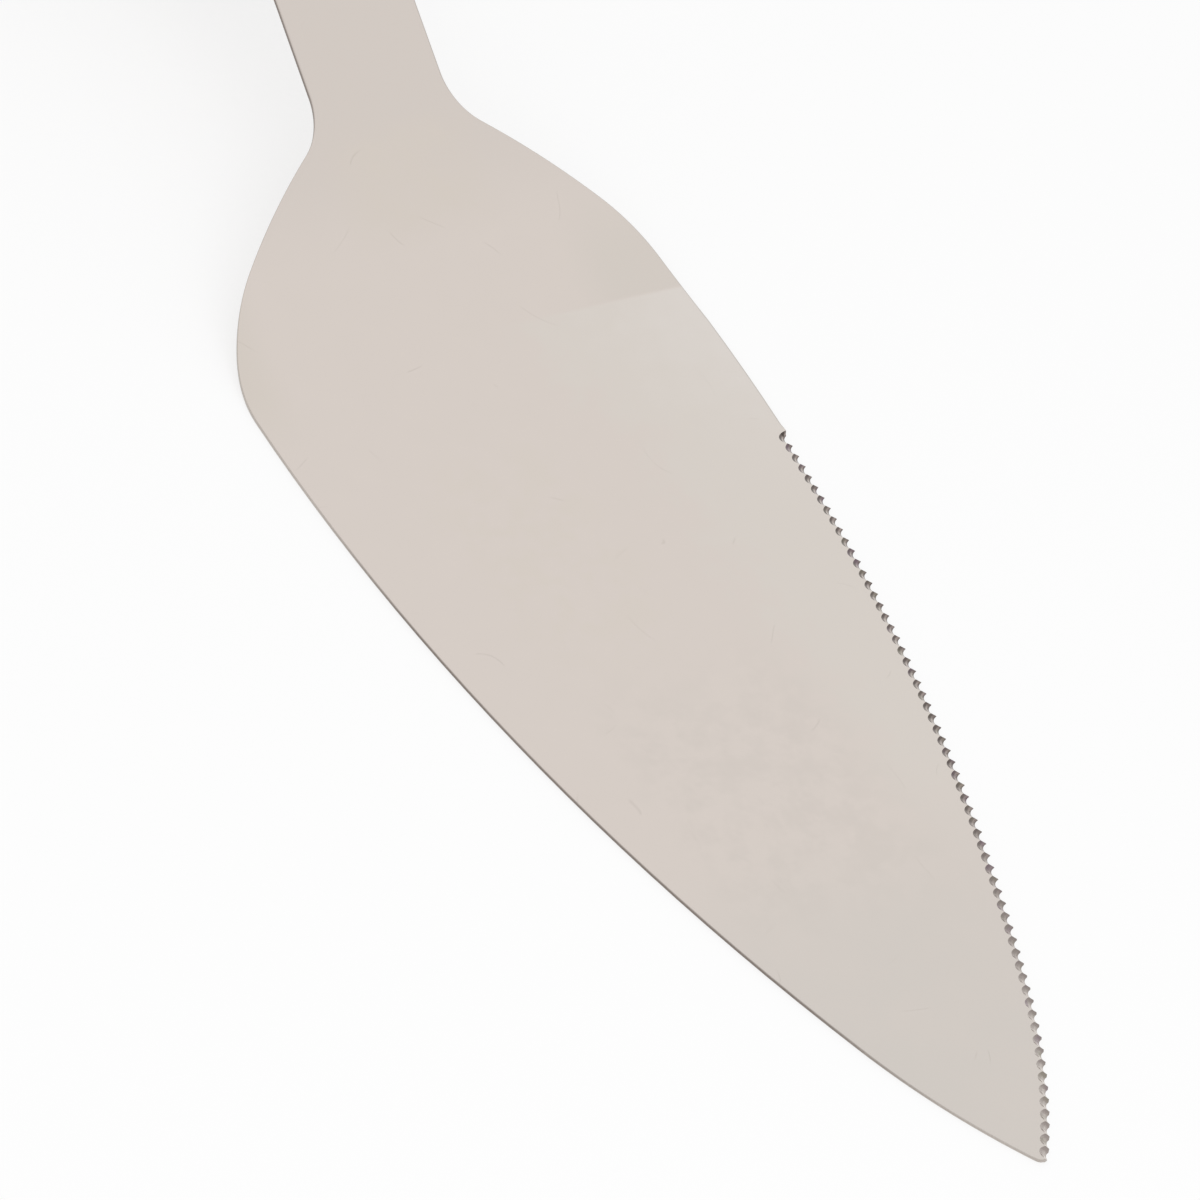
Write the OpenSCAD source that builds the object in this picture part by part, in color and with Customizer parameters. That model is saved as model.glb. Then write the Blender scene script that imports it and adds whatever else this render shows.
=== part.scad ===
// Cake server: a cranked, serrated sheet blade with a full tang between two riveted scales.
// +X points to the blade's tip, +Z up. The origin is on the underside, at the middle of the flat blade.
// The server stands as it lies on a table: on its flat blade and on the butt of its handle.

/* [Blade outline] */
// Greatest width of the blade
blade_width = 60; // [54:0.5:68]
// Thickness of the steel sheet
sheet_thickness = 0.6; // [0.5:0.05:0.9]
// Radius of the two long sides
side_radius = 279; // [265:1:300]
// Turn of a long side before the front curve takes over, in degrees
side_turn = 21.25; // [20:0.25:22]
// Radius of the two front curves that meet at the tip
front_radius = 84; // [76:1:94]
// Radius of the rounded tip
tip_radius = 1; // [0.8:0.1:2]
// Distance from the crank line forward to the widest place
widest_ahead = 1; // [0:0.25:3]
// Radius of the rounded shoulders
shoulder_radius = 25.5; // [23:0.5:28]
// Turn of a shoulder before the back curve takes over, in degrees
shoulder_turn = 42.3; // [40:0.5:44]
// Radius of the back curves that run in to the neck
back_radius = 90; // [80:1:110]
// Radius of the hollow corners between back curve and neck
neck_fillet = 7.75; // [6:0.25:10]

/* [Crank and neck] */
// Radius of the crank, on the underside of the sheet
crank_radius = 19.5; // [15:0.5:25]
// Slope of the neck above the flat blade, in degrees
crank_angle = 26.5; // [24:0.5:30]
// Width of the neck, which is the tang's width at the front of the handle
neck_width = 17.4; // [16:0.2:20]
// Length of the straight neck between the crank and the upper bend
neck_run = 38.3; // [35:0.1:46]
// Radius of the upper bend, on the underside of the sheet
bend_radius = 40; // [32:1:48]

/* [Serration] */
// Distance between two teeth, along the edge
tooth_pitch = 1.696; // [1.5:0.002:1.9]
// Length of the serrated edge, from the blade's tip
serrated_length = 106.2; // [80:0.1:110]
// Radius of the ground grooves between the teeth
groove_radius = 1.2; // [1.1:0.05:1.6]
// Slope of the ground grooves against the sheet, in degrees
groove_angle = 34; // [30:1:40]
// Height of a tooth's point above the underside
tooth_land = 0.05; // [0.03:0.01:0.1]
// Length of the edge, from the tip, over which the grooves get shallower
shallow_run = 42; // [15:1:60]
// Share of a groove's full depth that is left at the tip
tip_depth_share = 0.4; // [0.3:0.05:1]

/* [Handle] */
// Length of the tang from the upper bend to the butt
handle_length = 106; // [90:1:125]
// Distance from the upper bend back to the front of the scales
scale_setback = 3; // [1:0.5:8]
// Width of the handle where it is widest
handle_width = 21; // [18:0.2:24]
// Length over which the handle swells from the neck's width to its own
swell_run = 62; // [50:1:70]
// Radius of the butt's end, seen from above
butt_radius = 17; // [14:0.5:24]
// Radius of the butt's two corners, seen from above
butt_corner = 6.5; // [5:0.5:8]
// Thickness of one scale along the middle
scale_thick = 6.5; // [5.5:0.1:8]
// Radius of the scale's crowned face, seen from the end
crown_radius = 14; // [13:0.5:20]
// Height of the upright face at the front end of a scale
front_lip = 1.6; // [1:0.1:3]
// Radius that rounds the front end of a scale above its lip, seen from the side
front_round = 9; // [6:0.5:12]
// Radius that rounds the butt end of a scale, seen from the side
butt_round = 4; // [3:0.25:5]

/* [Rivets] */
// Diameter of a rivet's head
head_d = 6.5; // [5.5:0.1:8]
// Diameter of the sleeve that passes through the scales and the tang
sleeve_d = 4.4; // [4:0.1:5]
// Diameter of the post that is driven into the sleeve
post_d = 2.8; // [2.4:0.1:3.2]
// Height of a head's seat above the scale's inner face
seat_height = 4; // [3:0.1:4.4]
// Distance from the front of the scales to the first rivet
rivet_front = 15; // [12:0.5:20]
// Distance from the butt to the last rivet
rivet_back = 17; // [14:0.5:22]
// Clearance all round a rivet in its hole, and round the post in its sleeve
rivet_gap = 0.05; // [0.03:0.01:0.1]
// Space between the open end of a sleeve and the head of its post
sleeve_end_gap = 0.4; // [0.2:0.1:1]
// Space between the end of a post and the closed end of its sleeve
post_end_gap = 0.6; // [0.2:0.1:1.5]

/* [Hidden] */
$fn = 64;

// Straight pieces in each curve of an outline
arc_steps = 24;
// Straight pieces in each bend of the sheet
bend_steps = 16;
// How far a cut or a blank runs past the shape it trims
overrun = 2;
// Rivets in the handle
rivets = 3;

half_blade = blade_width / 2;
half_neck = neck_width / 2;
half_handle = handle_width / 2;

// Points of a circular arc from angle a0 to angle a1
function arc(centre, radius, a0, a1, steps = arc_steps) =
    [for (i = [0:steps]) let (a = a0 + (a1 - a0) * i / steps) centre + radius * [cos(a), sin(a)]];
function reversed(points) = [for (i = [len(points) - 1:-1:0]) points[i]];
function mirrored(points) = [for (p = reversed(points)) [p.x, -p.y]];
// Length of an arc of a given radius and turn in degrees, and the turn of an arc of a given length
function arc_length(radius, turn) = radius * turn * PI / 180;
function arc_turn(radius, length) = length / radius * 180 / PI;

// Plan of one half of the blade, with x = 0 at the crank line. Each curve touches the next one,
// so the centres of two curves and the point where they touch lie on one line.
side_centre = [widest_ahead, half_blade - side_radius];
front_from = 90 - side_turn;
front_centre = side_centre + (side_radius - front_radius) * [cos(front_from), sin(front_from)];
tip_centre = [front_centre.x + sqrt(pow(front_radius - tip_radius, 2) - pow(front_centre.y, 2)), 0];
tip_from = atan2(-front_centre.y, tip_centre.x - front_centre.x);
tip_x = tip_centre.x + tip_radius;
shoulder_centre = [widest_ahead, half_blade - shoulder_radius];
back_from = 90 + shoulder_turn;
back_centre = shoulder_centre - (back_radius - shoulder_radius) * [cos(back_from), sin(back_from)];
fillet_y = half_neck + neck_fillet;
fillet_behind = sqrt(pow(back_radius + neck_fillet, 2) - pow(fillet_y - back_centre.y, 2));
fillet_centre = [back_centre.x - fillet_behind, fillet_y];
fillet_from = atan2(fillet_centre.y - back_centre.y, fillet_centre.x - back_centre.x);

// Side view of the sheet: a path back along its underside, each point with the path's slope there
bend_start = crank_point(crank_angle) + neck_run * [-cos(crank_angle), sin(crank_angle)];
// The handle droops so far that its butt comes down to the level of the blade's underside
droop_reach = [bend_radius - scale_thick + butt_round, handle_length - butt_round];
droop_rise = butt_round + bend_radius * cos(crank_angle) - bend_start.y;
droop = acos(droop_rise / norm(droop_reach)) - atan2(droop_reach.y, droop_reach.x);
bend_end = bend_start + bend_radius * [-sin(crank_angle) - sin(droop), cos(droop) - cos(crank_angle)];

blank_end = bend_end - (handle_length + overrun) * [cos(droop), sin(droop)];

function crank_point(slope) = crank_radius * [-sin(slope), 1 - cos(slope)];
function bend_point(slope) =
    bend_start + bend_radius * [sin(slope) - sin(crank_angle), cos(slope) - cos(crank_angle)];
underside = concat(
    [[tip_x + overrun, 0, 0]],
    [for (i = [0:bend_steps]) let (a = crank_angle * i / bend_steps) concat(crank_point(a), a)],
    [for (i = [0:bend_steps]) let (a = crank_angle - (crank_angle + droop) * i / bend_steps)
        concat(bend_point(a), a)],
    [concat(blank_end, -droop)]);

// Plan of one half of the handle in the handle's own frame, with x = 0 at the upper bend.
// The swell is an S of two equal arcs that starts at the front of the scales.
// The butt is one arc with rounded corners.
swell = half_handle - half_neck;
swell_radius = (pow(swell_run, 2) + pow(swell, 2)) / (4 * swell);
swell_turn = asin(swell_run / 2 / swell_radius);
corner_y = half_handle - butt_corner;
butt_centre_x = butt_radius - handle_length;
corner_centre = [butt_centre_x - sqrt(pow(butt_radius - butt_corner, 2) - pow(corner_y, 2)), corner_y];
corner_from = atan2(corner_y, corner_centre.x - butt_centre_x);
half_handle_plan = concat(
    arc([-scale_setback, half_neck + swell_radius], swell_radius, -90, -90 - swell_turn),
    arc([-scale_setback - swell_run, half_handle - swell_radius], swell_radius, 90 - swell_turn, 90),
    arc(corner_centre, butt_corner, 90, corner_from),
    arc([butt_centre_x, 0], butt_radius, corner_from, 180));

// Where a point of the handle's plan lies in the plan of the whole sheet, halfway through the sheet
function over_tang(p) = [bend_end.x + p.x * cos(droop) - sheet_thickness / 2 * sin(droop), p.y];

// Places on the edge of the blade, by their distance from the tip: [x, y, angle of the outward normal]
tip_length = arc_length(tip_radius, tip_from);
front_length = arc_length(front_radius, front_from - tip_from);
function on_arc(centre, radius, a) = [centre.x + radius * cos(a), centre.y + radius * sin(a), a];
function edge_at(s) =
    s < tip_length ? on_arc(tip_centre, tip_radius, arc_turn(tip_radius, s))
    : s < tip_length + front_length
        ? on_arc(front_centre, front_radius, tip_from + arc_turn(front_radius, s - tip_length))
    : on_arc(side_centre, side_radius, front_from + arc_turn(side_radius, s - tip_length - front_length));

// A full groove is so deep that it meets its neighbour at the blade's outline, a tooth's land above
// the underside. Towards the tip the grooves get shallower.
groove_rise = groove_radius - sqrt(pow(groove_radius, 2) - pow(tooth_pitch / 2, 2));
groove_depth = groove_rise / sin(groove_angle) - tooth_land / tan(groove_angle);
groove_reach = sheet_thickness / sin(groove_angle) + overrun;
function depth_share(s) = tip_depth_share + (1 - tip_depth_share) * min(1, s / shallow_run);
last_groove = floor(serrated_length / tooth_pitch);

first_rivet_x = -scale_setback - rivet_front;
last_rivet_x = rivet_back - handle_length;
function rivet_x(i) = first_rivet_x + (last_rivet_x - first_rivet_x) * i / (rivets - 1);

steel = [0.80, 0.79, 0.77];
rivet_steel = [0.70, 0.70, 0.69];
wood = [0.34, 0.20, 0.12];

// Moves a shape from the crank line's frame to the part's frame
module placed() {
    translate([-tip_x / 2, 0, 0]) children();
}

// Moves a shape from the handle's own frame to the crank line's frame.
// There x = 0 is the end of the upper bend, z = 0 the tang's underside, and the handle runs towards -X.
module at_handle() {
    translate([bend_end.x, 0, bend_end.y]) rotate([0, -droop, 0]) children();
}

// Extrudes a side view, drawn in x and z, across the part
module across(width) {
    rotate([90, 0, 0]) linear_extrude(height = width, center = true) children();
}

// The sheet's outline from above, from the tip back to the butt
module sheet_plan() {
    half = concat(
        arc(tip_centre, tip_radius, 0, tip_from),
        arc(front_centre, front_radius, tip_from, front_from),
        arc(side_centre, side_radius, front_from, 90),
        arc(shoulder_centre, shoulder_radius, 90, back_from),
        arc(back_centre, back_radius, back_from, fillet_from),
        arc(fillet_centre, neck_fillet, fillet_from - 180, -90),
        [for (p = half_handle_plan) over_tang(p)]);
    polygon(concat(half, mirrored(half)));
}

module sheet_side_view() {
    topside = [for (p = underside) [p.x + sheet_thickness * sin(p.z), p.y + sheet_thickness * cos(p.z)]];
    bottom = [for (p = underside) [p.x, p.y]];
    polygon(concat(bottom, reversed(topside)));
}

// One ground groove, cut from the upper face outwards and down through the edge, at a distance from the tip
module groove(s) {
    place = edge_at(s);
    depth = groove_depth * depth_share(s);
    translate([place.x, place.y, 0]) rotate([0, 0, place.z])
        translate([groove_radius * sin(groove_angle) - depth, 0, groove_radius * cos(groove_angle)])
            rotate([0, 90 + groove_angle, 0])
                cylinder(r = groove_radius, h = 2 * groove_reach, center = true);
}

// Moves a shape from the handle's own frame to the axis of a rivet, at a given height
module at_rivet(i, z = 0) {
    translate([rivet_x(i), 0, z]) children();
}

module rivet_holes() {
    through = 2 * (scale_thick + sheet_thickness + overrun);
    for (i = [0:rivets - 1])
        at_rivet(i) cylinder(d = sleeve_d + 2 * rivet_gap, h = through, center = true);
}

// The cranked sheet in its outline, with a plain edge all round
module plain_sheet() {
    intersection() {
        across(blade_width + 2 * overrun) sheet_side_view();
        linear_extrude(height = 2 * (bend_start.y + bend_radius), center = true) sheet_plan();
    }
}

// Every second groove of the serrated edge, beginning with the given one
module alternate_grooves(first) {
    for (i = [first:2:last_groove]) groove(serrated_length - i * tooth_pitch);
}

module blade() {
    color(steel) placed() difference() {
        difference() {
            plain_sheet();
            alternate_grooves(0);
        }
        alternate_grooves(1);
        at_handle() rivet_holes();
    }
}

module handle_plan() {
    polygon(concat(half_handle_plan, mirrored(half_handle_plan)));
}

// Side view of one scale, flat on z = 0, with both ends rounded towards its crowned face
module scale_side_view() {
    front_turn = acos(1 - (scale_thick - front_lip) / front_round);
    front_centre_x = -scale_setback - front_round * sin(front_turn);
    polygon(concat(
        [[-scale_setback, 0]],
        arc([front_centre_x, scale_thick - front_round], front_round, 90 - front_turn, 90),
        arc([butt_round - handle_length, scale_thick - butt_round], butt_round, 90, 180),
        [[-handle_length, 0]]));
}

// The space that the crowned face of a scale bounds, with the scale's inner face on z = 0
module under_crown() {
    translate([overrun, 0, scale_thick - crown_radius]) rotate([0, -90, 0])
        cylinder(r = crown_radius, h = handle_length + 2 * overrun, $fn = 96);
}

// One scale with its inner face on z = 0 and its crown up
module scale() {
    difference() {
        intersection() {
            linear_extrude(height = scale_thick) handle_plan();
            across(handle_width + 2 * overrun) scale_side_view();
            under_crown();
        }
        rivet_holes();
        for (i = [0:rivets - 1])
            at_rivet(i, seat_height) cylinder(d = head_d + 2 * rivet_gap, h = scale_thick + overrun);
    }
}

// A rivet's head on its seat, ground flush with the scale's crown
module rivet_head(i) {
    intersection() {
        at_rivet(i, seat_height) cylinder(d = head_d, h = scale_thick);
        under_crown();
    }
}

module upper_scale() {
    color(wood) placed() at_handle() translate([0, 0, sheet_thickness]) scale();
}

module lower_scale() {
    color(wood) placed() at_handle() mirror([0, 0, 1]) scale();
}

// The sleeve's head sits in the upper scale, and its tube reaches down to the post's head
module rivet_sleeve(i) {
    tube_end = sleeve_end_gap - seat_height;
    tube_length = sheet_thickness + seat_height - tube_end;
    color(rivet_steel) placed() at_handle() difference() {
        union() {
            translate([0, 0, sheet_thickness]) rivet_head(i);
            at_rivet(i, tube_end) cylinder(d = sleeve_d, h = tube_length);
        }
        at_rivet(i, tube_end - overrun) cylinder(d = post_d + 2 * rivet_gap, h = tube_length + overrun);
    }
}

// The post's head sits in the lower scale, and its pin stands in the sleeve
module rivet_post(i) {
    color(rivet_steel) placed() at_handle() union() {
        mirror([0, 0, 1]) rivet_head(i);
        at_rivet(i, -seat_height) cylinder(d = post_d, h = 2 * seat_height + sheet_thickness - post_end_gap);
    }
}

blade();
upper_scale();
lower_scale();
rivet_sleeve(0);  // front_rivet_sleeve
rivet_post(0);  // front_rivet_post
rivet_sleeve(1);  // middle_rivet_sleeve
rivet_post(1);  // middle_rivet_post
rivet_sleeve(2);  // rear_rivet_sleeve
rivet_post(2);  // rear_rivet_post
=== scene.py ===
import math

import bmesh
import bpy
import numpy as np
from mathutils import Matrix, Vector
from mathutils.geometry import delaunay_2d_cdt
from mathutils.kdtree import KDTree


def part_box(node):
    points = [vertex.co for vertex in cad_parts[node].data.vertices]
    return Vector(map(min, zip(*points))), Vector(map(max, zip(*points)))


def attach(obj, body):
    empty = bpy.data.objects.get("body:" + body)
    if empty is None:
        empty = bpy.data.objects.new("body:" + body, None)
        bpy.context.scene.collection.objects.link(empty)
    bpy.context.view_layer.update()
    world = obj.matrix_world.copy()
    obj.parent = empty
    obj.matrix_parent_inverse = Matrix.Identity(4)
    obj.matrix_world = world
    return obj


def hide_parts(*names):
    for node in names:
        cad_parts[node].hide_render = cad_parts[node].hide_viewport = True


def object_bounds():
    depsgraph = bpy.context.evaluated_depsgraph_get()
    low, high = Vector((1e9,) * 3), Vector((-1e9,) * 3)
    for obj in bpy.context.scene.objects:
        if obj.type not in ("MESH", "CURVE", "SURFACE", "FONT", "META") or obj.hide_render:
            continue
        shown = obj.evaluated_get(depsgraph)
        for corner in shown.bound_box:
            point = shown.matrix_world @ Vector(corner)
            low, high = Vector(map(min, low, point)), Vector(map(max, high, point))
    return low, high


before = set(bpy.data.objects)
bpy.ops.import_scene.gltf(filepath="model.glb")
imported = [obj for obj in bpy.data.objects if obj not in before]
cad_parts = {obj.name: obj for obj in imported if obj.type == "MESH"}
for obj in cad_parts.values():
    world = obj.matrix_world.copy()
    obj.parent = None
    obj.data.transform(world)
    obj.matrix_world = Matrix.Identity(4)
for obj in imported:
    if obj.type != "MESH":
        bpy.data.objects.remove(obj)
cad_low, cad_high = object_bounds()

MM = 0.001
TINY = 1e-6

# Camera, as fitted to the photograph: it aims at a point of the flat blade from a distance, rolled to
# its right
AIM = Vector((-24.2775, -5.24, 0)) * MM
VIEW_DISTANCE = 649.75 * MM
VIEW_AZIMUTH = math.radians(47.47)
VIEW_ELEVATION = math.radians(43.35)
VIEW_ROLL = math.radians(18.24)
SENSOR = 36
LENS = 177.56
CLIP_NEAR = 0.05
CLIP_FAR = 20

# Studio in metres: light from all round, one lamp and a floor
STUDIO_LIGHT = 0.72
STUDIO_WALL = 0.5
STUDIO_FOOT = 0.96
KEY_SIDE = 1.2
KEY_POWER = 7
KEY_TOWARDS = Vector((0.75, -0.25, 0.61))
KEY_DISTANCE = 1.4
HALF_FLOOR = 6
FLOOR_GREY = 0.32
FLOOR_LIFT = 0.695

# Places on the steel sheet in millimetres: the crank line, and a spot of painted shade in the first groove
# beside the plain edge
CRANK_X = -60.655
HEEL_SHADE = (-40.92, 28.8)

# Rims of the steel sheet: the upper one is rolled over, wider than it is high, and the lower one is
# barely broken. The roll runs out over ROLL_CLEAR before the ground teeth.
UPPER_ROUND = 0.24 * MM
UPPER_ROLL = 0.45 * MM
UPPER_SEGMENTS = 6
ROLL_REACH = 1.5 * UPPER_ROUND
ROLL_CLEAR = 1.2 * MM
ROLL_END_SHARE = 0.05
LOWER_ROUND = 0.1 * MM
LOWER_SEGMENTS = 2
HOLE_CLEAR = 4 * MM

# How the triangles of the CAD are joined and shaded, where flat faces rule, and how the sheet's faces are
# told apart by their normals
WELD_REACH = 0.0005 * MM
FLAT_TURN = math.radians(0.1)
SMOOTH_TURN = math.radians(30)
FLAT_WEIGHT = 100
WALL_LEAN = 0.05
SHEET_TWIST = 0.01
SHEET_RISE = 0.8

# Material slots of the blade
FACE = 0
GROUND = 1

# Handle scales in millimetres, as their solids are shaped. X runs forwards from the upper bend, and Z up
# from the face on the tang.
SCALE_FRONT = -3
SCALE_BUTT = -106
HALF_NECK = 8.7
HALF_HANDLE = 10.5
SWELL_RUN = 62
FRONT_CORNER = 1.2
BUTT_CORNER = 6.5
BUTT_RADIUS = 17
SCALE_THICK = 6.5
CROWN_RADIUS = 14
CROWN_BLEND = 30
FRONT_LIP = 1.6
FRONT_ROUND = 9
BUTT_ROUND = 4
SEAT_HEIGHT = 4
HEAD_HOLE = 3.3
SLEEVE_HOLE = 2.25
RIVET_PLACES = (-18, -53.5, -89)
RIVETS = ("front", "middle", "rear")

# Steps of a scale's outline, of 1 mm along its front end, and of its holes
FRONT_STEPS = 7
CORNER_STEPS = 6
SIDE_STEPS = 24
BUTT_CORNER_STEPS = 12
BUTT_STEPS = 6
HOLE_STEPS = 48

# Sanding of a scale's edge, in millimetres: its profile is drawn towards the spine, from below the tang's
# face up to the crown, and softened by a bell curve, which runs out before SANDED
SPINE_FRONT = SCALE_FRONT - 7
SPINE_BUTT = SCALE_BUTT + 9
PROFILE_DEPTH = 4
PROFILE_RUN = 6.5
PROFILE_STEP = 0.05
SANDING = 0.75
SANDING_REACH = 3
SANDING_SAMPLES = 25
SANDED = 3.3
SANDED_RUNOUT = 1.3
WALL_SHARES = (0.65, 0.4, 0.2, 0)
EDGE_PLACES = (0.2, 0.45, 0.75, 1.1, 1.5, 2, 2.6, SANDED)

# Rows of points that carry a scale's crown, in millimetres
CROWN_ROWS = 72
CROWN_INSET = 4.5
ROW_STEP = 1.3
ROW_REACH = 1.5
ROW_HALF = 4
ROW_CLEAR = 0.6
SIDE_CLEAR = 3
SEAT_CLEAR = 0.5


class Tree:
    """Makes the nodes of one material or world."""

    def __init__(self, owner):
        owner.use_nodes = True
        self.nodes = owner.node_tree.nodes
        self.links = owner.node_tree.links
        self.nodes.clear()

    def add(self, kind, inputs=None, **settings):
        node = self.nodes.new(kind)
        for name, value in settings.items():
            setattr(node, name, value)
        for name, value in (inputs or {}).items():
            socket = node.inputs[name]
            if isinstance(value, bpy.types.NodeSocket):
                self.links.new(value, socket)
            else:
                socket.default_value = value
        return node

    def math(self, operation, a, b=0.0):
        return self.add("ShaderNodeMath", {0: a, 1: b}, operation=operation).outputs[0]

    def product(self, *factors):
        """The product of numbers, or what masks from 0 to 1 share."""
        result = factors[0]
        for factor in factors[1:]:
            result = self.math("MULTIPLY", result, factor)
        return result

    def blend(self, factor, a, b):
        return self.add("ShaderNodeMix", {0: factor, 6: a, 7: b}, data_type="RGBA").outputs[2]

    def remap(self, value, low, high, to_low=0.0, to_high=1.0, kind="LINEAR"):
        sockets = {0: value, 1: low, 2: high, 3: to_low, 4: to_high}
        return self.add("ShaderNodeMapRange", sockets, interpolation_type=kind).outputs[0]

    def fade(self, *mapping):
        """Remaps a value with soft ends."""
        return self.remap(*mapping, kind="SMOOTHSTEP")

    def noise(self, vector, scale, detail=2.0, roughness=0.5):
        sockets = {"Vector": vector, "Scale": scale, "Detail": detail, "Roughness": roughness}
        return self.add("ShaderNodeTexNoise", sockets).outputs["Fac"]

    def place(self, scale=(1, 1, 1), rotation=(0, 0, 0), location=(0, 0, 0)):
        """Object coordinates in millimetres, turned and stretched."""
        where = self.add("ShaderNodeTexCoord").outputs["Object"]
        metric = tuple(s / MM for s in scale)
        sockets = {"Vector": where, "Location": location, "Rotation": rotation, "Scale": metric}
        return self.add("ShaderNodeMapping", sockets).outputs[0]

    def split(self, vector):
        return self.add("ShaderNodeSeparateXYZ", {0: vector}).outputs

    def normal(self):
        return self.split(self.add("ShaderNodeNewGeometry").outputs["Normal"])

    def bump(self, strength, depth, height):
        """Unevenness of a depth in millimetres."""
        sockets = {"Strength": strength, "Distance": depth * MM, "Height": height}
        return self.add("ShaderNodeBump", sockets).outputs[0]

    def surface(self, sockets):
        """Ends a material in one principled shader."""
        shader = self.add("ShaderNodeBsdfPrincipled", sockets)
        self.add("ShaderNodeOutputMaterial", {"Surface": shader.outputs[0]})


def material(name):
    made = bpy.data.materials.new(name)
    return made, Tree(made)


def grey(value):
    return (value, value, value, 1)


def tone(*levels):
    """Levels out of 255, none of them under 11, as linear colour."""
    return (*(((v / 255 + 0.055) / 1.055) ** 2.4 for v in levels), 1)


def sheet_place(t):
    """Distance ahead of the crank line, sideways from the middle and up, in millimetres."""
    return t.split(t.place(location=(-CRANK_X, 0, 0)))


def hairlines(t, offset, feature, share):
    """Long, bent and very thin lines, of which only short pieces show."""
    drawn = t.noise(t.place(location=(offset, 0, 0)), 1 / feature, detail=1)
    off = t.math("ABSOLUTE", t.math("SUBTRACT", drawn, 0.5))
    line = t.fade(off, 0.045 / feature, 0.01 / feature)
    pieces = t.noise(t.place(location=(0, offset, 5)), 0.16, detail=2)
    return t.product(line, t.fade(pieces, share, share + 0.04))


def sheet_tone_and_painted_reflections(t):
    """The polished faces: nearly even, over a faint random mottle, with slight painted reflections, lighter
    and darker shades that stand in for the studio mirrored in the sheet. A shade shows where its masks
    overlap, whose ends are places on the sheet in millimetres."""
    x, y, _ = sheet_place(t)
    aside = t.math("ABSOLUTE", y)
    cloud = t.noise(t.place(), 0.06, detail=4, roughness=0.6)
    mottle = t.noise(t.place(location=(3, 17, 0)), 0.25, detail=4, roughness=0.65)
    ahead = t.fade(x, -4.9, -4.3)
    border = t.math("SUBTRACT", y, t.fade(x, 2, 20, 0, 4))
    uneven = t.math("ADD", border, t.remap(mottle, 0.35, 0.65, -3, 3))
    # Painted reflections, each a tone laid over the mottle
    shades = (
        # Neck and its root
        (tone(210.5, 201.8, 195), t.fade(x, -14, -27)),
        (tone(212, 203, 194.6), t.fade(x, -30, -26), t.fade(x, -14, -19), t.fade(aside, 12, 4),
         t.remap(mottle, 0.35, 0.6, 0.4, 1)),
        # Rear of the blade at its plain side, and the shoulder at its serrated side
        (tone(211, 202.4, 194), t.fade(y, -23, -29), t.fade(x, -26, -18), t.fade(x, 8, -4)),
        (tone(210.5, 202.5, 195), t.fade(y, 14, 22), t.fade(x, -4.4, -5.2), t.fade(x, -20, -8)),
        # Middle of the blade
        (tone(213.6, 204.6, 196.4), t.fade(x, 8, 20), t.fade(x, 50, 38), t.fade(y, -20, -12),
         t.fade(y, 4, -3), t.fade(mottle, 0.42, 0.6)),
        # Serrated side, and its bright rear
        (tone(214.2, 206.8, 199.6), ahead, t.fade(uneven, 4, 13), t.fade(x, 90, 66)),
        (tone(217.6, 211, 205), ahead, t.remap(uneven, 14, 30), t.fade(x, 36, 6)),
        # Darker patch ahead of the middle, and the front
        (tone(210.8, 202, 195), t.fade(x, 44, 60), t.fade(x, 92, 82), t.fade(y, -18, -11),
         t.fade(y, 17, 6), t.fade(mottle, 0.38, 0.66)),
        (tone(208.6, 202, 195.6), t.fade(x, 70, 98), t.remap(cloud, 0.3, 0.6, 0.6, 1)),
    )
    colour = t.blend(t.remap(mottle, 0.35, 0.65), tone(214.5, 205.2, 198.2), tone(213.9, 204.7, 197.7))
    for shade, *masks in shades:
        colour = t.blend(t.product(*masks), colour, shade)
    return colour


def polished_steel():
    """The sheet's faces and its rolled rim, which turns into the duller cut edge. The cut edge's dark
    colour is partly its own rougher steel and partly painted shade; it is lighter towards the shoulder and
    the tip.
    """
    made, t = material("polished_steel")
    x = sheet_place(t)[0]
    scratches = t.math("MAXIMUM", hairlines(t, 4.7, 18, 0.6), hairlines(t, 31.3, 26, 0.59))
    face = t.blend(t.product(scratches, 0.14), sheet_tone_and_painted_reflections(t), tone(172, 163, 155))

    # The cut edge: rougher steel darkened with painted shade, lighter towards the shoulder and the tip
    grain = t.noise(t.place(scale=(1, 1, 5)), 2.2, detail=3, roughness=0.7)
    dark = t.blend(t.remap(grain, 0.3, 0.7), tone(122, 112, 106), tone(150, 140, 133))
    light = t.blend(t.remap(grain, 0.3, 0.7), tone(176, 168, 161), tone(196, 188, 181))
    rear = t.product(t.fade(x, 37, 12), t.fade(x, -22, -12))
    cut = t.blend(t.math("MAXIMUM", rear, t.fade(x, 92, 119)), dark, light)

    # The polish ends on the roll, and near the tip it reaches further over
    upright = t.math("ABSOLUTE", t.normal()[2])
    faced = t.remap(upright, 0.05, t.fade(x, 100, 114, 0.86, 0.5))
    smear = t.noise(t.place(scale=(0.3, 1, 1), rotation=(0, 0, 0.5)), 0.12, detail=4, roughness=0.65)
    polish = t.remap(smear, 0.3, 0.75, 0.09, 0.15)
    rough = t.math("ADD", t.product(polish, faced), t.remap(faced, 0, 1, 0.34, 0))
    lines = t.noise(t.place(scale=(0.5, 14, 14), rotation=(0, 0, 0.12)), 1.2, detail=3, roughness=0.7)
    t.surface({"Base Color": t.blend(faced, cut, face), "Metallic": 1.0, "Roughness": rough,
               "Normal": t.bump(0.05, 0.02, lines)})
    return made


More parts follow.
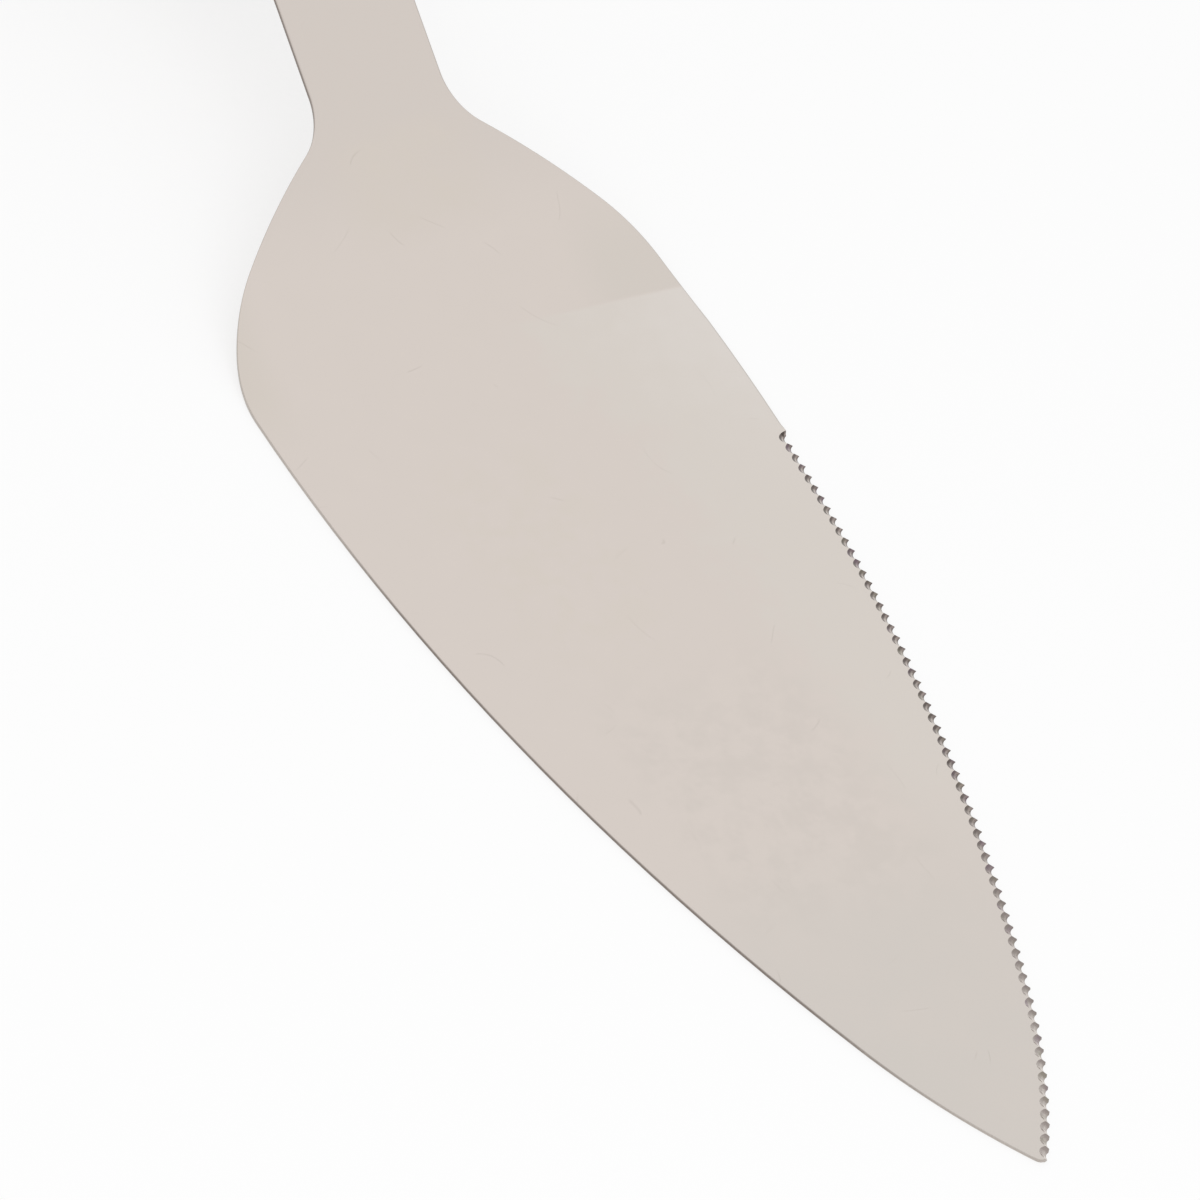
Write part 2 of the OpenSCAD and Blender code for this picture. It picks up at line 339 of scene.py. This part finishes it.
def ground_steel():
    """The grooves between the teeth. Their rear walls and rims are painted dark and their front walls
    painted bright, as painted reflections that follow the way each wall faces, and the grinding wheel left
    marks and a slight temper tint. The first groove has a spot of painted shade."""
    made, t = material("ground_steel")
    x, _, height = sheet_place(t)
    patch = t.noise(t.place(), 1.1, detail=2, roughness=0.6)
    grain = t.noise(t.place(scale=(6, 1, 6), rotation=(0, 0, 0.3)), 2.5, detail=3, roughness=0.7)
    level = t.math("ADD", t.product(patch, 0.3), t.product(grain, 0.7))
    wander = t.remap(level, 0.35, 0.65, -0.16, 0.16)

    # The serrated side turns inwards towards the tip, and the walls of its grooves turn with it. Which way
    # a
    # wall faces sets its painted reflection: dark on the rear walls, bright on the front ones
    along, across, _ = t.normal()
    facing = t.math("SUBTRACT", along, t.product(across, t.remap(x, 20, 115, 0.07, 0.75)))
    rear = t.fade(t.math("ADD", facing, wander), 0.14, 0.56)
    front = t.fade(x, 70, 105)
    bright = t.blend(t.fade(x, 55, 78), tone(212, 202, 194), tone(190, 180, 173))
    bright = t.blend(t.fade(x, 94, 108), bright, tone(224, 216, 209))
    tooth = t.noise(t.place(location=(9, 2, 0)), 0.55, detail=0)
    dark = t.blend(t.fade(tooth, 0.4, 0.6), tone(182, 168, 162), tone(150, 138, 133))
    dark = t.blend(front, dark, tone(166, 156, 151))
    colour = t.blend(rear, bright, dark)

    # Each groove has a rim of painted dark reflection on the sheet's upper face, and a weaker one on its
    # lower face
    rim = t.fade(t.math("ADD", height, t.product(wander, 0.4)), 0.2, 0.42)
    end = t.fade(t.math("ADD", height, wander), 0.2, 0.06)
    ring = t.math("MAXIMUM", rim, t.product(end, 0.8))
    sided = t.math("MAXIMUM", t.remap(facing, -0.5, 0.3, 0.5, 1), t.remap(x, 60, 40))
    strength = t.product(sided, t.remap(x, 70, 104, 0.9, 0.5))
    edge = t.blend(rear, tone(86, 77, 74), tone(116, 105, 101))
    edge = t.blend(front, edge, tone(166, 156, 151))
    colour = t.blend(t.product(ring, strength), colour, edge)

    tint = t.noise(t.place(location=(5, 11, 0)), 0.5, detail=1)
    tinted = t.remap(x, 21, 21.6, 0, 0.4)
    colour = t.blend(t.product(tinted, t.fade(tint, 0.55, 0.7)), colour, tone(140, 116, 136))
    colour = t.blend(t.product(tinted, t.fade(tint, 0.45, 0.3)), colour, tone(150, 146, 126))
    # A spot of painted shade in the first groove
    around = t.place(scale=(1, 1, 0), location=(-HEEL_SHADE[0], -HEEL_SHADE[1], 0))
    off = t.add("ShaderNodeVectorMath", {0: around}, operation="LENGTH").outputs["Value"]
    colour = t.blend(t.fade(off, 0.36, 0.18, 0, 0.85), colour, tone(72, 64, 58))
    t.surface({"Base Color": colour, "Metallic": 1.0, "Roughness": t.remap(grain, 0.3, 0.7, 0.2, 0.34)})
    return made


def rivet_steel(slope):
    """Steel brushed along the handle."""
    made, t = material("rivet_steel")
    lines = t.noise(t.place(scale=(0.25, 9, 1), rotation=(0, -slope, 0)), 2, detail=3, roughness=0.7)
    colour = t.blend(t.remap(lines, 0.3, 0.7), tone(178, 174, 168), tone(212, 206, 199))
    t.surface({"Base Color": colour, "Metallic": 1.0, "Normal": t.bump(0.15, 0.02, lines),
               "Roughness": t.remap(lines, 0.3, 0.7, 0.24, 0.36)})
    return made


def walnut(slope):
    """Oiled wood with bands, fibres and pores along the handle."""
    made, t = material("dark_walnut")
    turned = (0, -slope, 0)
    bend = t.noise(t.place(scale=(0.012, 0.06, 0.06), rotation=turned), 1, detail=2)
    shift = t.add("ShaderNodeCombineXYZ", {1: t.remap(bend, 0, 1, -4, 4)}).outputs[0]
    along = t.add("ShaderNodeVectorMath", {0: t.place(scale=(0.02, 1, 1), rotation=turned), 1: shift},
                  operation="ADD").outputs[0]
    bands = t.noise(along, 0.55, detail=3, roughness=0.55)
    fibre = t.noise(t.place(scale=(0.05, 4, 4), rotation=turned), 1.3, detail=5, roughness=0.7)
    pores = t.noise(t.place(scale=(0.2, 6, 6), rotation=turned), 1.0, detail=1, roughness=0.5)
    pore = t.fade(pores, 0.64, 0.72)
    level = t.math("ADD", t.product(bands, 0.6), t.product(fibre, 0.4))
    colour = t.blend(t.remap(level, 0.36, 0.62), tone(66, 42, 30), tone(112, 76, 54))
    colour = t.blend(t.product(pore, 0.7), colour, tone(38, 23, 16))
    height = t.math("SUBTRACT", t.product(fibre, 0.3), pore)
    t.surface({"Base Color": colour, "Normal": t.bump(0.3, 0.04, height),
               "Coat Weight": 0.15, "Coat Roughness": 0.3,
               "Roughness": t.remap(fibre, 0.25, 0.75, 0.36, 0.5)})
    return made


def shown_directly(t):
    """1 for what the camera sees by itself, in metal or through glass, and 0 for light that falls on the
    object."""
    path = t.add("ShaderNodeLightPath").outputs
    either = t.math("MAXIMUM", path["Is Camera Ray"], path["Is Glossy Ray"])
    return t.math("MAXIMUM", either, path["Is Transmission Ray"])


def floor_material():
    """A matt pale floor. What is seen of it directly is lifted towards white."""
    made, t = material("pale_floor")
    diffuse = t.add("ShaderNodeBsdfDiffuse", {"Color": grey(FLOOR_GREY)})
    lift = t.product(shown_directly(t), FLOOR_LIFT)
    glow = t.add("ShaderNodeEmission", {"Color": grey(1), "Strength": lift})
    lifted = t.add("ShaderNodeAddShader", {0: diffuse.outputs[0], 1: glow.outputs[0]})
    t.add("ShaderNodeOutputMaterial", {"Surface": lifted.outputs[0]})
    return made


def centre(node):
    low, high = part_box(node)
    return (low + high) / 2


def welded(node, name):
    """A copy of a CAD node's mesh with its faces joined and its flat faces whole."""
    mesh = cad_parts[node].data.copy()
    mesh.name = name
    mesh.materials.clear()
    if mesh.has_custom_normals:
        mesh.attributes.remove(mesh.attributes["custom_normal"])
    bm = bmesh.new()
    bm.from_mesh(mesh)
    bmesh.ops.remove_doubles(bm, verts=bm.verts, dist=WELD_REACH)
    bmesh.ops.dissolve_limit(bm, angle_limit=FLAT_TURN, verts=bm.verts, edges=bm.edges)
    return mesh, bm


def place_piece(bm, mesh, node, slot, *materials):
    """Turns a worked mesh into a piece that stands for a CAD node."""
    for face in bm.faces:
        face.smooth = True
    for edge in bm.edges:
        edge.smooth = len(edge.link_faces) == 2 and edge.calc_face_angle() < SMOOTH_TURN
    bm.to_mesh(mesh)
    bm.free()
    piece = bpy.data.objects.new(mesh.name, mesh)
    bpy.context.scene.collection.objects.link(piece)
    for m in materials:
        mesh.materials.append(m)
    weighted = piece.modifiers.new("flat_faces", "WEIGHTED_NORMAL")
    weighted.keep_sharp = True
    weighted.weight = FLAT_WEIGHT
    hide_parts(node)
    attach(piece, "root")


def is_wall(face):
    """Is this face of the sheet its cut edge, which stands upright?"""
    return abs(face.normal.z) < WALL_LEAN


def is_sheet(face):
    """Is this one of the two faces of the sheet, which only ever tilt about the Y axis?"""
    return abs(face.normal.y) < SHEET_TWIST and abs(face.normal.z) > SHEET_RISE


def touches_ground(vert):
    return any(f.material_index == GROUND for f in vert.link_faces)


def teeth_tree(bm):
    """The vertices of the ground teeth, as a tree that finds the nearest one."""
    places = [v.co for v in bm.verts if touches_ground(v)]
    tree = KDTree(len(places))
    for index, co in enumerate(places):
        tree.insert(co, index)
    tree.balance()
    return tree


def rims(bm):
    """The edges of the sheet's upper and of its lower rim, without its holes and the ground teeth."""
    rivet_axes = [centre(f"{r}_rivet_post") for r in RIVETS]
    upper, lower = [], []
    for edge in bm.edges:
        if len(edge.link_faces) != 2 or {is_wall(f) for f in edge.link_faces} != {True, False}:
            continue
        wall, sheet = sorted(edge.link_faces, key=is_sheet)
        here = edge.verts[0].co
        if not is_sheet(sheet) or any((here - axis).xy.length < HOLE_CLEAR for axis in rivet_axes):
            continue
        beside = {f.material_index for e in wall.edges for f in e.link_faces}
        if sheet.normal.z > 0 and not all(touches_ground(v) for v in edge.verts):
            upper.append(edge)
        if sheet.normal.z < 0 and GROUND not in beside:
            lower.append(edge)
    return upper, lower


def nearest_on(rim, here):
    """The distance in plan from the rim, the way from its nearest point, that point and the slope there."""
    best = None
    for a, b, slope in rim:
        along = (b - a).xy
        at = a.lerp(b, max(0, min(1, (here - a.xy).dot(along) / along.length_squared)))
        off = here - at.xy
        if best is None or off.length < best[0]:
            best = (off.length, off, at, slope)
    return best


def roll_over(rim, ends, faces, teeth):
    """Draws the rounding of the upper rim inwards, in the plane of the sheet, until it is a wide roll.
    Towards the ground teeth the roll runs out."""
    for vert in {v for f in faces for v in f.verts}:
        if touches_ground(vert):
            end = min(ends, key=lambda e: (e - vert.co).length)
            vert.co = end.lerp(vert.co, ROLL_END_SHARE)
            continue
        reach, off, at, slope = nearest_on(rim, vert.co.xy)
        if reach < ROLL_REACH:
            grown = min(1, teeth.find(at)[2] / ROLL_CLEAR)
            wide = off * grown * UPPER_ROLL / UPPER_ROUND
            sunk = vert.co.z - at.z - slope * off.x
            vert.co = at + Vector((wide.x, wide.y, grown * sunk + slope * wide.x))


def rounded(bm, rim, offset, segments):
    """Rounds a rim of the sheet and gives back the faces of the rounding."""
    made = bmesh.ops.bevel(bm, geom=rim, offset=offset, segments=segments, profile=0.5, affect="EDGES",
                           clamp_overlap=False)
    for face in made["faces"]:
        face.material_index = FACE
    return set(made["faces"])


def make_blade():
    """The sheet with rolled rims, kept above the floor, and with the grooves' walls in their own steel."""
    mesh, bm = welded("blade", "polished_blade")
    for face in bm.faces:
        face.material_index = FACE if is_wall(face) or is_sheet(face) else GROUND
    teeth = teeth_tree(bm)
    upper, lower = rims(bm)
    outline, ends = [], []
    for edge in upper:
        sheet = max(edge.link_faces, key=is_sheet)
        places = [v.co.copy() for v in edge.verts]
        outline.append((*places, -sheet.normal.x / sheet.normal.z))
        ends += [co for v, co in zip(edge.verts, places) if touches_ground(v)]
    roll_over(outline, ends, rounded(bm, upper, UPPER_ROUND, UPPER_SEGMENTS), teeth)
    rounded(bm, [e for e in lower if e.is_valid], LOWER_ROUND, LOWER_SEGMENTS)
    for vert in bm.verts:
        vert.co.z = max(vert.co.z, cad_low.z)
    place_piece(bm, mesh, "blade", "blade_steel", polished_steel(), ground_steel())


def arc(x, y, radius, start, end, steps):
    """Points along an arc about a centre, both ends included."""
    turns = [start + (end - start) * i / steps for i in range(steps + 1)]
    return [Vector((x + radius * math.cos(a), y + radius * math.sin(a))) for a in turns]


def scale_outline():
    """The plan of a scale, from the middle of its front end all the way round. The hollow of its swell
    begins beside the front corner, so its first steps are left out."""
    swell = HALF_HANDLE - HALF_NECK
    swell_radius = (SWELL_RUN ** 2 + swell ** 2) / (4 * swell)
    swell_turn = math.asin(SWELL_RUN / 2 / swell_radius)
    swell_end = SCALE_FRONT - SWELL_RUN
    corner_y = HALF_HANDLE - BUTT_CORNER
    butt_x = SCALE_BUTT + BUTT_RADIUS
    corner_x = butt_x - math.sqrt((BUTT_RADIUS - BUTT_CORNER) ** 2 - corner_y ** 2)
    corner_end = math.atan2(corner_y, corner_x - butt_x)
    straight = corner_x - swell_end
    side = math.pi / 2
    half = [Vector((SCALE_FRONT, y)) for y in range(FRONT_STEPS)]
    half += arc(SCALE_FRONT - FRONT_CORNER, HALF_NECK - FRONT_CORNER, FRONT_CORNER, 0, side, CORNER_STEPS)
    half += arc(SCALE_FRONT, HALF_NECK + swell_radius, swell_radius, -side, -side - swell_turn,
                SIDE_STEPS)[2:]
    half += arc(swell_end, HALF_HANDLE - swell_radius, swell_radius, side - swell_turn, side,
                SIDE_STEPS)[1:]
    half += [Vector((swell_end + straight * i / SIDE_STEPS, HALF_HANDLE)) for i in range(1, SIDE_STEPS)]
    half += arc(corner_x, corner_y, BUTT_CORNER, side, corner_end, BUTT_CORNER_STEPS)
    half += arc(butt_x, 0, BUTT_RADIUS, corner_end, math.pi, BUTT_STEPS)[1:]
    return half + [Vector((p.x, -p.y)) for p in reversed(half[1:-1])]


def scale_height(spot):
    """Height of a scale's crowned face, which falls away at both ends."""
    crown = SCALE_THICK - CROWN_RADIUS + math.sqrt(CROWN_RADIUS ** 2 - spot.y ** 2)
    front_turn = math.acos(1 - (SCALE_THICK - FRONT_LIP) / FRONT_ROUND)
    past_front = max(0, spot.x - SCALE_FRONT + FRONT_ROUND * math.sin(front_turn))
    past_butt = max(0, SCALE_BUTT + BUTT_ROUND - spot.x)
    side = SCALE_THICK - FRONT_ROUND + math.sqrt(FRONT_ROUND ** 2 - past_front ** 2)
    side += math.sqrt(max(0, BUTT_ROUND ** 2 - past_butt ** 2)) - BUTT_ROUND
    blend = spot.y ** 2 / CROWN_BLEND + TINY
    return min(crown, side) - max(0, blend - abs(crown - side)) ** 2 / (4 * blend)


def sanded_edge(start):
    """Points up a scale's wall and over its edge onto the crowned face, above one point of its outline."""
    inwards = Vector((min(max(start.x, SPINE_BUTT), SPINE_FRONT), 0)) - start
    inwards.normalize()
    wall = scale_height(start)
    way = np.arange(0, PROFILE_RUN, PROFILE_STEP)
    heights = np.array([scale_height(start + inwards * d) for d in way])
    way, heights = np.append([0, 0], way[1:]), np.append([-PROFILE_DEPTH, wall], heights[1:])
    length = np.append(0, np.cumsum(np.hypot(np.diff(way), np.diff(heights)))) - wall - PROFILE_DEPTH
    points = [start.to_3d()]
    offsets = np.linspace(-SANDING_REACH, SANDING_REACH, SANDING_SAMPLES) * SANDING
    weights = np.exp(-(offsets / SANDING) ** 2 / 2)
    weights /= weights.sum()
    for s in (*(-wall * share for share in WALL_SHARES), *EDGE_PLACES):
        sharp = [np.interp(s, length, profile) for profile in (way, heights)]
        soft = [np.interp(s + offsets, length, profile) @ weights for profile in (way, heights)]
        share = min(1, (SANDED - s) / SANDED_RUNOUT)
        d, z = (float(a + (b - a) * share) for a, b in zip(sharp, soft))
        points.append((start + inwards * d).to_3d() + Vector((0, 0, z)))
    return points


def clear_of_rivets(spot, distance):
    return all((spot - Vector((x, 0))).length > distance for x in RIVET_PLACES)


def crown_spots(rim):
    """Rows of points on the crowned face, between its rim and the seats of the rivets."""
    spots = []
    for i in range(CROWN_ROWS):
        x = SCALE_FRONT - CROWN_INSET - ROW_STEP * i
        beside = [abs(v.co.y) for v in rim if abs(v.co.x - x) < ROW_REACH and abs(v.co.y) > SIDE_CLEAR]
        reach = min(beside) - ROW_CLEAR
        row = [Vector((x, reach * j / ROW_HALF)) for j in range(-ROW_HALF, ROW_HALF + 1)]
        spots += [p for p in row if clear_of_rivets(p, HEAD_HOLE + SEAT_CLEAR)]
    return spots


def ring(bm, x, radius, height):
    """A circle of vertices about the axis of a rivet, at a height or on the crowned face."""
    spots = arc(x, 0, radius, 0, 2 * math.pi, HOLE_STEPS)[:-1]
    return [bm.verts.new((p.x, p.y, scale_height(p) if height is None else height)) for p in spots]


def bridge(bm, low, high):
    """Faces between two rings of vertices."""
    for i in range(len(low)):
        bm.faces.new((low[i - 1], low[i], high[i], high[i - 1]))


def fill(bm, outer, holes, radius, spots=()):
    """Triangles within a loop of vertices, outside the holes and through some spots of the crowned face."""
    verts = outer + [v for hole in holes for v in hole]
    verts += [bm.verts.new((p.x, p.y, scale_height(p))) for p in spots]
    edges, first = [], 0
    for loop in [outer] + holes:
        edges += [(first + i, first + (i + 1) % len(loop)) for i in range(len(loop))]
        first += len(loop)
    only_inside = 1
    places = [v.co.xy for v in verts]
    _, _, faces, origins, _, _ = delaunay_2d_cdt(places, edges, [], only_inside, TINY)
    for face in faces:
        corners = [verts[origins[i][0]] for i in face]
        middle = sum((v.co.xy for v in corners), Vector((0, 0))) / 3
        if clear_of_rivets(middle, radius):
            bm.faces.new(corners)


def make_scale(node, slope, wood):
    """A scale with its seats and holes for the rivets, and with soft edges."""
    bm = bmesh.new()
    levels = zip(*(sanded_edge(p) for p in scale_outline()))
    rings = [[bm.verts.new(p) for p in level] for level in levels]
    for low, high in zip(rings, rings[1:]):
        bridge(bm, low, high)
    mouths = [ring(bm, x, HEAD_HOLE, None) for x in RIVET_PLACES]
    feet = []
    for x, mouth in zip(RIVET_PLACES, mouths):
        seat = ring(bm, x, HEAD_HOLE, SEAT_HEIGHT)
        throat = ring(bm, x, SLEEVE_HOLE, SEAT_HEIGHT)
        feet.append(ring(bm, x, SLEEVE_HOLE, 0))
        for low, high in ((mouth, seat), (seat, throat), (throat, feet[-1])):
            bridge(bm, low, high)
    fill(bm, rings[-1], mouths, HEAD_HOLE, crown_spots(rings[-1]))
    fill(bm, rings[0], feet, SLEEVE_HOLE)
    bmesh.ops.recalc_face_normals(bm, faces=bm.faces)

    ahead = Vector((math.cos(slope), 0, math.sin(slope)))
    up = Vector((-ahead.z, 0, ahead.x)) * (1 if node == "upper_scale" else -1)
    solid = [v.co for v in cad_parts[node].data.vertices]
    front = max(p.dot(ahead) for p in solid) - SCALE_FRONT * MM
    origin = ahead * front + up * min(p.dot(up) for p in solid)
    for vert in bm.verts:
        x, y, z = vert.co * MM
        vert.co = origin + ahead * x + Vector((0, y, 0)) + up * z
    if node == "lower_scale":
        bmesh.ops.reverse_faces(bm, faces=bm.faces)
    mesh = bpy.data.meshes.new(node.replace("_scale", "_walnut_scale"))
    place_piece(bm, mesh, node, "handle_wood", wood)


def dress(node, steel):
    """Gives a CAD node its material."""
    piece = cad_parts[node]
    piece.data.materials.clear()
    piece.data.materials.append(steel)


def make_floor():
    mesh = bpy.data.meshes.new("floor")
    corners = [(x * HALF_FLOOR, y * HALF_FLOOR, cad_low.z) for x, y in ((-1, -1), (1, -1), (1, 1), (-1, 1))]
    mesh.from_pydata(corners, [], [(0, 1, 2, 3)])
    floor = bpy.data.objects.new("floor", mesh)
    bpy.context.scene.collection.objects.link(floor)
    mesh.materials.append(floor_material())


def make_world():
    """Even soft light. What is seen of the studio directly is white above, grey in its walls, and white
    again where they run into the floor."""
    world = bpy.data.worlds.new("studio")
    bpy.context.scene.world = world
    t = Tree(world)
    height = t.split(t.add("ShaderNodeTexCoord").outputs["Generated"])[2]
    walls = t.blend(t.fade(height, 0.02, 0.5), grey(STUDIO_WALL), grey(1))
    walls = t.blend(t.fade(height, 0.14, 0), walls, grey(STUDIO_FOOT))
    light = t.add("ShaderNodeBackground", {"Color": grey(1), "Strength": STUDIO_LIGHT})
    white = t.add("ShaderNodeBackground", {"Color": walls, "Strength": 1.0})
    shaders = {0: shown_directly(t), 1: light.outputs[0], 2: white.outputs[0]}
    mixed = t.add("ShaderNodeMixShader", shaders)
    t.add("ShaderNodeOutputWorld", {"Surface": mixed.outputs[0]})


def make_key():
    """One large soft lamp, high on the camera's side. Polished steel mirrors the studio, not this lamp."""
    data = bpy.data.lights.new("key", "AREA")
    data.shape = "SQUARE"
    data.size = KEY_SIDE
    data.energy = KEY_POWER
    lamp = bpy.data.objects.new("key", data)
    lamp.visible_camera = False
    lamp.visible_glossy = False
    bpy.context.scene.collection.objects.link(lamp)
    towards = KEY_TOWARDS.normalized()
    turn = towards.to_track_quat("Z", "Y").to_matrix().to_4x4()
    lamp.matrix_world = Matrix.Translation(towards * KEY_DISTANCE) @ turn


def make_camera():
    back = Vector((math.sin(VIEW_AZIMUTH) * math.cos(VIEW_ELEVATION),
                   -math.cos(VIEW_AZIMUTH) * math.cos(VIEW_ELEVATION), math.sin(VIEW_ELEVATION)))
    data = bpy.data.cameras.new("camera")
    data.sensor_width = SENSOR
    data.lens = LENS
    data.clip_start = CLIP_NEAR
    data.clip_end = CLIP_FAR
    camera = bpy.data.objects.new("camera", data)
    bpy.context.scene.collection.objects.link(camera)
    turn = (-back).to_track_quat("-Z", "Y").to_matrix() @ Matrix.Rotation(VIEW_ROLL, 3, "Z")
    camera.matrix_world = Matrix.Translation(AIM + VIEW_DISTANCE * back) @ turn.to_4x4()
    bpy.context.scene.camera = camera


first, last = centre("front_rivet_post"), centre("rear_rivet_post")
handle_slope = math.atan2(first.z - last.z, first.x - last.x)

make_blade()
wood = walnut(handle_slope)
make_scale("upper_scale", handle_slope, wood)
make_scale("lower_scale", handle_slope, wood)
steel = rivet_steel(handle_slope)
for rivet in RIVETS:
    dress(f"{rivet}_rivet_sleeve", steel)
    dress(f"{rivet}_rivet_post", steel)

make_floor()
make_world()
make_key()
make_camera()
bpy.context.scene.view_settings.view_transform = "Standard"
